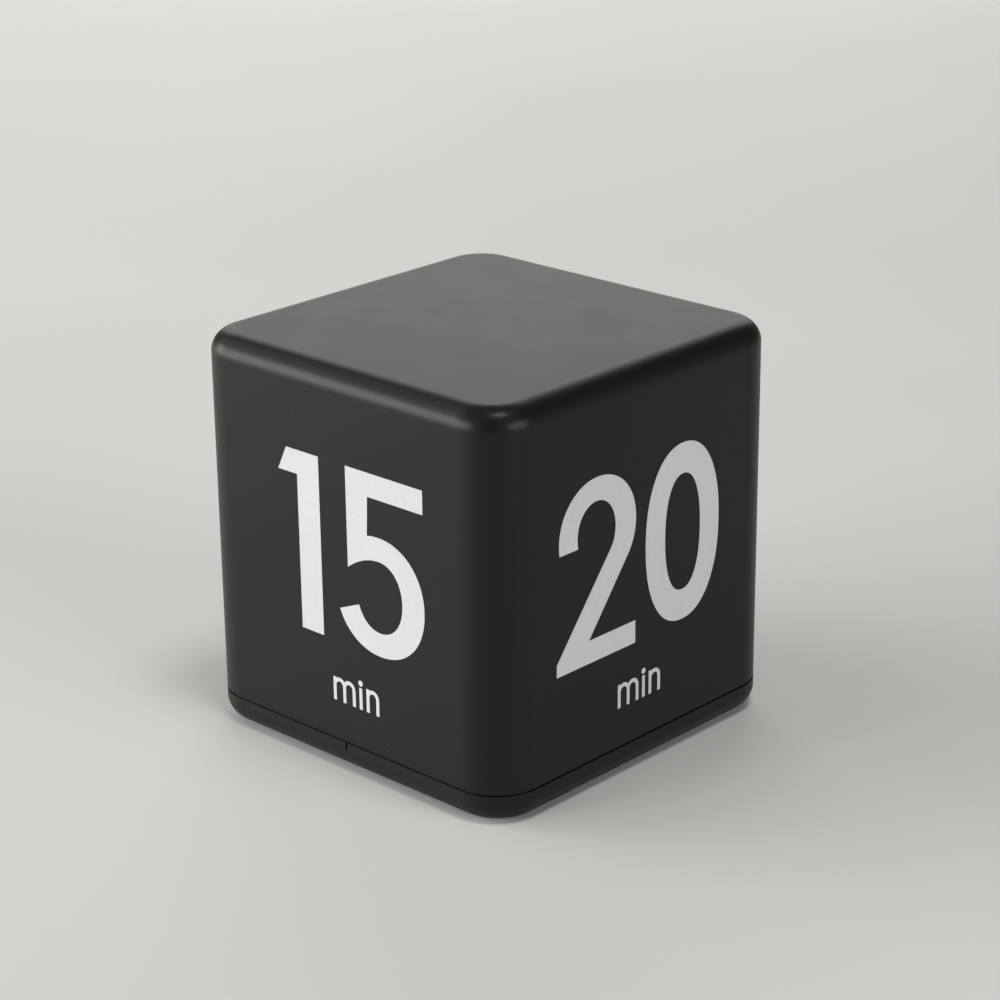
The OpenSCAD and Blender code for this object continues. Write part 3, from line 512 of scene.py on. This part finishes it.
def shell_skin():
    """Shell as one closed skin, with its wear.

    It runs from the middle of the ceiling down the inner walls, under the rim and up the outside, and
    over the rounded edge to the middle of the top.
    """
    edge_steps, inner_steps, outer_steps = 20, 5, 10
    turn = np.linspace(0, QUARTER, edge_steps)
    rim_turn = turn[::4]
    ceiling, inner_r = TOP - WALL, EDGE_R - WALL
    from_middle = np.array([0.0, 0.35, 0.7, 1 - SUPPORT / HALF])
    flat = np.ones(from_middle.size)
    inner_z = np.linspace(ceiling - inner_r - SUPPORT, SEAM, inner_steps)
    outer_z = np.concatenate([
        [SEAM + RIM_R + SUPPORT], np.linspace(SEAM, TOP, outer_steps)[1:-1], [TOP - EDGE_R - SUPPORT]
    ])
    # Inset from the side, height, shrink towards the middle and wear
    inside = [
        ((WALL + inner_r) * flat, ceiling * flat, from_middle, 0),
        (WALL + inner_r * (1 - np.sin(turn)), ceiling - inner_r * (1 - np.cos(turn)), 1, 0),
        (np.full(inner_z.size, WALL), inner_z, 1, 0),
        (RIM_R * (1 - np.sin(rim_turn)), SEAM + RIM_R * (1 - np.cos(rim_turn)), 1, 1),
    ]
    outside = [
        (np.zeros(outer_z.size), outer_z, 1, 0),
        (EDGE_R * (1 - np.cos(turn)), TOP - EDGE_R * (1 - np.sin(turn)), 1, np.sin(2 * turn)),
        (EDGE_R * flat, TOP * flat, from_middle[::-1], 0),
    ]
    inset, height, shrink, wear = (
        np.concatenate([np.broadcast_to(part[i], part[0].shape) for part in inside + outside]).astype(float)
        for i in range(4)
    )
    path = square_path(HALF - CORNER_R)
    bends = path[2]
    upright = (np.arange(inset.size) >= sum(part[0].size for part in inside)) & (shrink == 1)
    corner_wear = bends[None, :] * upright[:, None] * CORNER_WEAR
    worn = 1 - (1 - wear[:, None]) * (1 - corner_wear)
    return square_sweep(path, CORNER_R - INK, inset, height, shrink), worn


def shell_pillars():
    """Four screw pillars with their pilot holes, each tied to the walls by two ribs."""
    screws_high = node_box("case_screws")[1]
    head_r, pillar_r, pilot_r, rib, rounding = 2.3, 3.0, 1.32, 1.2, 0.2
    foot, rib_foot, hole_end, tip = 6.5, SEAM + 4.0, screws_high[2] + 1.0, 0.6
    # Pillars and ribs run this far into the ceiling and the walls
    sunk = 0.4
    roof, wall_face = TOP - WALL + sunk, HALF - WALL + sunk
    at = screws_high[0] - head_r
    profile = softened([
        (0, hole_end + tip), (pilot_r, hole_end), (pilot_r, foot),
        (pillar_r, foot), (pillar_r, roof), (0, roof),
    ], rounding)
    grids = []
    for x in (-at, at):
        for y in (-at, at):
            grids.append(turned(profile, (x, y, 0), (0, 0, 1), steps=40))
            near_x, far_x = np.sort([x, np.copysign(wall_face, x)])
            near_y, far_y = np.sort([y, np.copysign(wall_face, y)])
            grids += block((near_x, y - rib / 2, rib_foot), (far_x, y + rib / 2, roof))
            grids += block((x - rib / 2, near_y, rib_foot), (x + rib / 2, far_y, roof))
    return grids


skin, skin_wear = shell_skin()
make_piece("shell_skin", [skin], case_black, stands_for=("shell",), marks={"wear": [skin_wear]})
make_piece("shell_pillars", shell_pillars(), case_black)


# Printed times, drawn flat as strips: across from the middle of a side, and up from the table

DIGIT_FOOT, DIGIT_HEAD = 21.73, 50.75
STEM = 4.75
BAR = 3.8
ARC_STEPS, SHORT_STEPS, RING_STEPS = 60, 20, 121


def strip(near, far):
    """Flat strip ruled from one line to another, near + s * (far - near), its faces turning anticlockwise."""
    grid = np.stack([np.asarray(near, float), np.asarray(far, float)])
    x, z = np.concatenate([grid[0], grid[1][::-1]]).T
    turning = np.sum(x * np.roll(z, -1) - z * np.roll(x, -1))
    return grid if turning > 0 else grid[:, ::-1]


def bar(across, up):
    """Upright rectangle as a strip, cut at each of its places across and up."""
    across, up = np.asarray(across, float), np.asarray(up, float)
    return np.stack(np.broadcast_arrays(across[None, :], up[:, None]), -1)


def oval(centre, radii, degrees, power=2.0):
    """Points of a squared oval: centre + radii * sign * |cos, sin| ** (2 / power)."""
    angle = np.radians(degrees)
    wave = np.stack([np.cos(angle), np.sin(angle)], -1)
    return np.asarray(centre) + np.asarray(radii) * np.sign(wave) * np.abs(wave) ** (2 / power)


def tangent_angle(centre, radii, point):
    """Angle at which an oval's right side runs straight on to a point below it."""
    away = (np.asarray(point) - centre) / radii
    return math.degrees(math.atan2(away[1], away[0]) + math.acos(1 / np.hypot(*away)))


def digit_one(x):
    """One: an upright stem and a flag with a slanted end. x is the flag's tip."""
    reach, slant, swell = 4.15, 1.9, 0.1
    stem, flag_z = x + reach, DIGIT_HEAD - BAR - swell
    return [
        bar([stem, stem + STEM], [DIGIT_FOOT, flag_z, DIGIT_HEAD]),
        strip([(x, flag_z), (stem, flag_z)], [(x + slant, DIGIT_HEAD), (stem, DIGIT_HEAD)]),
    ]


def digit_five(x):
    """Five: a top bar, a short stem and an open bowl between two ovals. x is the stem's left side.

    Before its crest, the bowl's inner line comes up from the stem's end as a parabola.
    """
    width, slimmer = 16.05, 0.2
    bar_z, stem_end, stem_side = DIGIT_HEAD - BAR, (x, 34.57), x + STEM - slimmer
    centre, outer, inner, power = (x + 6.65, 31.34), (9.4, 9.61), (4.8, 5.77), 2.1
    start_out, crest_out, tail_out, tail_in = 103.5, 80, -156.5, -158.0
    crest = (centre[0], centre[1] + inner[1])
    ahead = np.linspace(1, 0, SHORT_STEPS)
    rise = np.stack([crest[0] - ahead * (crest[0] - x), crest[1] - ahead ** 2 * (crest[1] - stem_end[1])], -1)
    bowl_in = np.concatenate([rise, oval(centre, inner, np.linspace(90, tail_in, ARC_STEPS), power)[1:]])
    out_degrees = np.concatenate([
        np.linspace(start_out, crest_out, SHORT_STEPS), np.linspace(crest_out, tail_out, ARC_STEPS)[1:]
    ])
    bowl_out = oval(centre, outer, out_degrees, power)
    return [
        bar([x, stem_side, x + width], [bar_z, DIGIT_HEAD]),
        strip([stem_end, (x, bar_z)], [bowl_out[0], (stem_side, bar_z)]),
        strip(bowl_in, bowl_out),
    ]


def digit_two(x):
    """Two: a hook and arch between two ovals, which run on as straight lines to a foot bar.

    x is the foot's left end.
    """
    width, arch_z, power, hook_out, hook_in = 17.75, 41.84, 2.05, 189, 196
    dip, slimmer, heel_rise, knee = 0.4, 0.1, 1.6, 7.15
    foot_low = DIGIT_FOOT - dip
    foot_high = foot_low + BAR - slimmer
    outer_c, outer_r = np.array([x + 9.15, arch_z]), np.array([8.6, 8.76])
    inner_c, inner_r = np.array([x + 8.85, arch_z]), np.array([4.25, 5.03])
    corner, heel = (x + knee, foot_high), (x, DIGIT_FOOT + heel_rise)
    out_degrees = np.linspace(hook_out, tangent_angle(outer_c, outer_r, corner), ARC_STEPS)
    in_degrees = np.linspace(hook_in, tangent_angle(inner_c, inner_r, heel), ARC_STEPS)
    arch_out = np.concatenate([oval(outer_c, outer_r, out_degrees, power), [corner]])
    arch_in = np.concatenate([oval(inner_c, inner_r, in_degrees, power), [heel]])
    return [
        strip(arch_in, arch_out),
        strip([(x, foot_low), (corner[0], foot_low)], [heel, corner]),
        bar([corner[0], x + width], [foot_low, foot_high]),
    ]


def digit_nought(x):
    """Nought: the ring between two tall ovals. x is its left side."""
    outer, outer_power = (8.7, 14.49), 2.2
    inner, inner_power = (4.15, 9.51), 2.25
    middle = (x + outer[0], (DIGIT_FOOT + DIGIT_HEAD) / 2)
    degrees = np.linspace(0, 360, RING_STEPS)
    return [strip(oval(middle, inner, degrees, inner_power), oval(middle, outer, degrees, outer_power))]


def word_min(x):
    """The word min: stems with round arches and a dotted i. x is the middle of the first stem.

    An arch leaves its stem's side, and the second arch of the m also leaves the arch before it.
    """
    foot, head, stroke, pitch = 11.58, 15.52, 0.64, 2.09
    i_stem, n_stem, dot_r, dot_z = x + 5.68, x + 7.22, 0.47, head + 0.42
    i_head, stem_head = head - 0.35, head - 0.05
    near_steps, far_steps, dot_steps = 21, 13, 33
    outer, inner = (pitch + stroke) / 2, (pitch - stroke) / 2
    shoulder = head - outer
    leaves, crosses = (math.degrees(math.acos(share)) for share in (-inner / outer, pitch / 2 / outer))
    spring = shoulder + outer * math.sin(math.radians(leaves))
    out_degrees = np.concatenate([
        np.linspace(leaves, crosses, near_steps), np.linspace(crosses, 0, far_steps)[1:]
    ])
    in_degrees = np.linspace(180, 0, out_degrees.size)
    grids = [bar([i_stem - stroke / 2, i_stem + stroke / 2], [foot, i_head])]
    for start in (x, x + pitch, n_stem):
        hub = (start + pitch / 2, shoulder)
        grids.append(strip(oval(hub, (inner, inner), in_degrees), oval(hub, (outer, outer), out_degrees)))
        grids.append(bar([start + pitch - stroke / 2, start + pitch + stroke / 2], [foot, shoulder]))
    for start in (x, n_stem):
        grids.append(bar([start - stroke / 2, start + stroke / 2], [foot, shoulder, spring, stem_head]))
    between = oval((x + pitch / 2, shoulder), (outer, outer), out_degrees[near_steps - 1:])
    grids.append(strip(between, np.broadcast_to((x + pitch + stroke / 2, spring), between.shape)))
    dot = oval((i_stem, dot_z), (dot_r, dot_r), np.linspace(0, 360, dot_steps))
    grids.append(strip(np.broadcast_to((i_stem, dot_z), dot.shape), dot))
    return grids


def on_side(grids, across, depth):
    """Flat strips laid on a side of the cube: depth along its normal, across and up from its middle."""
    across, up = np.asarray(across, float), np.array([0, 0, 1.0])
    normal = np.cross(across, up)
    return [normal * depth + grid[..., :1] * across + grid[..., 1:] * up for grid in grids]


# Each side's way across, digits and word
sides = {
    "time_15": ((1, 0, 0), digit_one(-13.1) + digit_five(1.6), word_min(-2.12)),
    "time_20": ((0, 1, 0), digit_two(-20.0) + digit_nought(0.05), word_min(-5.88)),
    "time_5": ((-1, 0, 0), digit_five(-7.0), word_min(-4.65)),
    "time_10": ((0, -1, 0), digit_one(-13.1) + digit_nought(0.2), word_min(-2.4)),
}
for side_name, (across, digits, word) in sides.items():
    make_piece(side_name, on_side(digits + word, across, HALF), ink_white, thick=INK)


# Cells, springs and leads

def cell_skin(node, direction):
    """Cell turned from its profile: crimped flat end, sleeve with rolled shoulders, washer groove and button.

    Its marks are the share of its length at each point, and whether the sleeve covers it.
    """
    low, high = node_box(node)
    radius, button_r, button_h, rounding = (high[1] - low[1]) / 2, 1.9, 1.2, 0.22
    # The sleeve ends at this radius and this height
    bare_r, bare_h = 4.45, 0.2
    length = high[0] - low[0] - button_h
    foot = (low[0] if direction > 0 else high[0], (low[1] + high[1]) / 2, (low[2] + high[2]) / 2)
    profile = softened([
        (0, 0.12), (3.5, 0.12), (3.7, 0.0), (4.5, 0.0), (4.7, 0.25), (radius - 0.15, 0.25), (radius, 0.5),
        (radius, length - 0.45), (radius - 0.3, length), (4.4, length), (4.3, length - 0.3),
        (2.6, length - 0.3), (2.5, length - 0.05), (button_r, length), (button_r, length + button_h),
        (0, length + button_h),
    ], rounding)
    grid = turned(profile, foot, (direction, 0, 0))
    covered = ((profile[:, 0] > bare_r) & (profile[:, 1] > bare_h))[:, None].astype(float)
    return grid, {"along": [(profile[:, 1] / length)[:, None]], "covered": [covered]}


for cell, direction in (("battery_cell_right", 1), ("battery_cell_left", -1)):
    cell_grid, cell_marks = cell_skin(cell, direction)
    make_piece(cell.replace("battery_cell", "cell"), [cell_grid], finishes["cell_sleeve"],
               stands_for=(cell,), marks=cell_marks)

WIRE_R = 0.25


def spring_path(node, direction):
    """Conical coil: radius runs from the contact's curl to the cell's, and the ends lie flat.

    Height eases as 3 e^2 - 2 e^3 over the turns, so that the first and last curl close up.
    """
    low, high = node_box(node)
    wide, narrow, curls, flat, steps = 3.4, 2.2, 3, 0.07, 241
    share = np.linspace(0, 1, steps)
    ease = np.clip((share - flat) / (1 - 2 * flat), 0, 1)
    height = WIRE_R + (high[0] - low[0] - 2 * WIRE_R) * (3 * ease ** 2 - 2 * ease ** 3)
    radius, angle = wide + (narrow - wide) * share, 2 * np.pi * curls * share
    foot_x, side_y = (low[0], high[1]) if direction > 0 else (high[0], low[1])
    middle_y, middle_z = side_y - direction * (wide + WIRE_R), (low[2] + high[2]) / 2
    return np.stack([
        foot_x + direction * height,
        middle_y + direction * radius * np.cos(angle),
        middle_z + radius * np.sin(angle),
    ], -1)


for spring, direction in (("negative_spring", -1), ("bridge_spring", 1)):
    coil = tube(spring_path(spring, direction), WIRE_R, sides=12)
    make_piece(spring + "_coil", [coil], finishes["contact_nickel"], stands_for=(spring,))

LEAD_R = 0.5
LEAD_RISE = 18.0
# The board's end screws lie this far in from its ends
HOLE_IN = 1.9
# Pads lie this many lead widths off the board's middle line
PAD_Y = 1.2
board_low, board_high = node_box("main_board")
STRIP_Y = (board_low[1] + board_high[1]) / 2
HOLE_X = board_high[0] - HOLE_IN


def lead(start, first, second, pad, steps=61):
    """Insulated lead along (1-t)^3 A + 3 t (1-t)^2 B + 3 t^2 (1-t) C + t^3 D, from a piece to the board.

    A is its start and D its pad; B and C lie off those two by the first and second vector.
    """
    start, pad = np.asarray(start, float), np.asarray(pad, float)
    t = np.linspace(0, 1, steps)[:, None]
    one = 1 - t
    leaving = one ** 3 * start + 3 * t * one ** 2 * (start + first)
    path = leaving + 3 * t ** 2 * one * (pad + second) + t ** 3 * pad
    return tube(path, LEAD_R)


def board_pad(end, x, y):
    """Place on top of the main board, in lead widths from the screw at one of its ends."""
    return (end * (HOLE_X + 2 * x * LEAD_R), STRIP_Y + 2 * y * LEAD_R, board_high[2])


def battery_lead(contact, run, pad):
    """Lead from the middle of a contact's solder tab."""
    low, high = node_box(contact)
    sheet_t, below_top, drop = 0.4, 1.6, 0.45
    tab = (high[0] - sheet_t, (low[1] + high[1]) / 2, high[2] - below_top)
    return lead(tab, (-run * LEAD_RISE, 0, 0), (0, 0, drop * LEAD_RISE), pad)


def crossing_lead(x, y, z, pad):
    """Lead that rises over the battery bay to the main board's left end."""
    drop = 0.8
    return lead((x, y, z), (0, 0, LEAD_RISE), (0, 0, drop * LEAD_RISE), pad)


ceramic_high = node_box("piezo_ceramic")[1]
plate_low, plate_high = node_box("piezo_plate")
plate_mid = (plate_low + plate_high) / 2
switch_low, switch_high = node_box("switch_board")
switch_mid = (switch_low + switch_high) / 2
leads = {
    "battery_lead_red": ("lead_red", [battery_lead("positive_contact", 0.3, board_pad(1, 1, -PAD_Y))]),
    "battery_lead_black": ("lead_black", [battery_lead("negative_contact", 0.7, board_pad(1, -1, PAD_Y))]),
    "buzzer_leads": ("lead_grey", [
        crossing_lead(plate_mid[0], plate_mid[1], ceramic_high[2], board_pad(-1, -1, -PAD_Y)),
        crossing_lead(plate_high[0] - 2 * LEAD_R, plate_mid[1], plate_high[2], board_pad(-1, -1, PAD_Y)),
    ]),
    "switch_leads": ("lead_blue", [
        crossing_lead(switch_mid[0] + way * 3 * LEAD_R, switch_mid[1], switch_high[2],
                      board_pad(-1, 1, way * PAD_Y))
        for way in (-1, 1)
    ]),
}
for lead_node, (lead_slot, lead_grids) in leads.items():
    make_piece(lead_node + "_wire", lead_grids, finishes[lead_slot], stands_for=(lead_node,))


# Marks on the underside: the display's figures and the switch's strokes, read from below

# How far a mark stands off its face, and how thick it is
MARK_LIFT, MARK_T = 0.03, 0.02
FIGURE_W, FIGURE_H = 3.1, 2.75
FIGURES_X = (-10.6, -5.6, 2.5, 7.5)
DOT, DOT_Z = 0.3, 1.2


def from_below(grids, middle, depth):
    """Flat strips laid facing down: across runs towards -X and up towards +Y."""
    return [
        np.stack([middle[0] - grid[..., 0], middle[1] + grid[..., 1], np.full(grid.shape[:2], depth)], -1)
        for grid in grids
    ]


def segment(x0, z0, x1, z1, width=0.55, gap=0.1):
    """One bar of a figure between two corners, its ends cut to blunt points."""
    tip = 0.05
    start, end = np.array([x0, z0], float), np.array([x1, z1], float)
    length = np.linalg.norm(end - start)
    along = (end - start) / length
    side = np.array([-along[1], along[0]]) * width / 2
    steps = np.array([gap, gap + width / 2, length - gap - width / 2, length - gap])
    swell = np.array([tip, 1.0, 1.0, tip])[:, None]
    line = start + steps[:, None] * along
    return strip(line - swell * side, line + swell * side)


def figure_nought(x):
    """Six-bar nought: a bar below and above, and two on each side. x is its left side."""
    bars = [segment(x, z, x + FIGURE_W, z) for z in (-FIGURE_H, FIGURE_H)]
    return bars + [segment(at, z, at, z + FIGURE_H) for at in (x, x + FIGURE_W) for z in (-FIGURE_H, 0)]


glass_low, glass_high = node_box("lcd_front_glass")
glass_mid = (glass_low + glass_high) / 2
figures = [grid for x in FIGURES_X for grid in figure_nought(x)]
figures += [bar([-DOT, DOT], [z - DOT, z + DOT]) for z in (-DOT_Z, DOT_Z)]
figures = from_below(figures, glass_mid, glass_low[2] - MARK_LIFT)
make_piece("display_figures", figures, display_ink, thick=MARK_T)

KNOB_TRAVEL, DISH_FLOOR = 3.0, 0.9
MARK_X, MARK_H, STROKE, MARK_STEPS = 4.76, 0.5, 0.14, 41
knob_low, knob_high = node_box("switch_knob")
dish_mid = (knob_low + knob_high) / 2 + np.array([KNOB_TRAVEL / 2, 0, 0])
ring = np.linspace(0, 360, MARK_STEPS)
off_mark = strip(*(oval((MARK_X, 0), (r, r), ring) for r in (MARK_H - STROKE, MARK_H)))
on_mark = bar([-MARK_X - STROKE / 2, -MARK_X + STROKE / 2], [-MARK_H, MARK_H])
switch_marks = from_below([off_mark, on_mark], dish_mid, DISH_FLOOR - MARK_LIFT)
make_piece("switch_marks", switch_marks, ink_white, thick=MARK_T)


# Studio

STAGE_REACH = 2600.0
PAPER_Z = -700.0
# The floor is open where the cube stands on it, so that the paper below lights the underside
FOOT_R = CORNER_R - EDGE_R
# The floor reaches this far in under the foot
FLOOR_LAP = 0.1
CUBE_MIDDLE = Vector((0, 0, TOP * MM / 2))
WORLD_GREY = (0.08, 0.08, 0.08, 1.0)


def floor_finish():
    """Pale floor, a little uneven in tone, and clear from beneath."""
    look = Finish("studio_floor", Roughness=0.75, Specular_IOR_Level=0.2)
    dim, pale = (0.75, 0.73, 0.70, 1.0), (0.78, 0.76, 0.73, 1.0)
    look.set(Base_Color=look.mix(look.cloud(160, 2), dim, pale))
    under, clear = look.node("NewGeometry", output="Backfacing"), look.node("BsdfTransparent")
    both = look.node("MixShader", {}, {0: under, 1: Value(look, look.surface.outputs[0]), 2: clear})
    look.feed(look.tree.nodes["Material Output"].inputs["Surface"], both)
    return look.material


def under_finish():
    """Pale paper below the floor, which glows evenly so that the underside is seen from beneath."""
    look = Finish("under_paper", Roughness=0.8, Emission_Strength=0.45)
    dim, pale = (0.82, 0.81, 0.79, 1.0), (0.86, 0.85, 0.83, 1.0)
    paper = look.mix(look.noise(160, 2), dim, pale)
    return look.set(Base_Color=paper, Emission_Color=paper).material


def stage_sheet(name, inner_r, height, finish):
    """Level sheet round the cube's middle: rounded squares from an inner radius out to STAGE_REACH."""
    radius, level = np.array([STAGE_REACH, inner_r]), np.full(2, height)
    grid = square_sweep(square_path(HALF - CORNER_R), radius, 0 * radius, level, np.ones(2))
    points, faces, _ = join_grids([grid])
    sheet = link_mesh(name, points, faces, finish)


stage_sheet("floor", FOOT_R - FLOOR_LAP, 0.0, floor_finish())
stage_sheet("under_paper", 0.0, PAPER_Z, under_finish())


def soft_box(name, place, width, height, power):
    """Lamp of a width and a height in metres and a power in watts, facing the cube's middle."""
    lamp = bpy.data.lights.new(name, "AREA")
    lamp.shape, lamp.size, lamp.size_y, lamp.energy = "RECTANGLE", width, height, power
    light = bpy.data.objects.new(name, lamp)
    bpy.context.collection.objects.link(light)
    light.location = place
    light.rotation_euler = (CUBE_MIDDLE - light.location).to_track_quat("-Z", "Y").to_euler()


soft_box("key_box", (-1.06, -1.05, 0.345), 1.8, 0.72, 27.4)
soft_box("side_box", (-0.32, -1.48, 0.365), 0.44, 0.8, 3.8)
soft_box("back_box", (-0.58, 0.64, 0.40), 0.8, 0.62, 2.6)
soft_box("fill_box", (1.54, 0.10, 0.47), 1.1, 0.7, 10.8)
soft_box("top_box", (0.23, -0.06, 0.88), 0.22, 0.22, 2.1)
soft_box("left_box", (-0.62, -0.24, 0.60), 0.6, 0.5, 0.9)

world = bpy.data.worlds.new("studio")
bpy.context.scene.world = world
world.use_nodes = True
background = world.node_tree.nodes["Background"]
background.inputs["Color"].default_value = WORLD_GREY
background.inputs["Strength"].default_value = 1.0


# Camera at the photograph's place: angles in degrees, lengths in millimetres, focal length in pixels

AZIMUTH, ELEVATION, ROLL = (math.radians(a) for a in (43.370, 20.746, -0.630))
ACROSS, UP_BY, DISTANCE = -1.744, -2.976, 438.363
FOCAL, FRAME = 2762.186, 1000
back = np.array([
    math.sin(AZIMUTH) * math.cos(ELEVATION), -math.cos(AZIMUTH) * math.cos(ELEVATION), math.sin(ELEVATION)
])
level = np.array([math.cos(AZIMUTH), math.sin(AZIMUTH), 0])
upright = np.cross(back, level)
right = level * math.cos(ROLL) + upright * math.sin(ROLL)
up = upright * math.cos(ROLL) - level * math.sin(ROLL)
eye = np.array([0, 0, TOP / 2]) + back * DISTANCE - right * ACROSS - up * UP_BY

lens = bpy.data.cameras.new("camera")
lens.sensor_width, lens.sensor_fit = 36.0, "HORIZONTAL"
lens.lens = FOCAL / FRAME * lens.sensor_width
lens.clip_start, lens.clip_end = 0.01, 20.0
camera = bpy.data.objects.new("camera", lens)
bpy.context.collection.objects.link(camera)
placed = np.eye(4)
placed[:3, :4] = np.stack([right, up, back, eye * MM], -1)
camera.matrix_world = Matrix(placed.tolist())
bpy.context.scene.camera = camera
bpy.context.scene.view_settings.view_transform = "Standard"

bpy.context.view_layer.update()
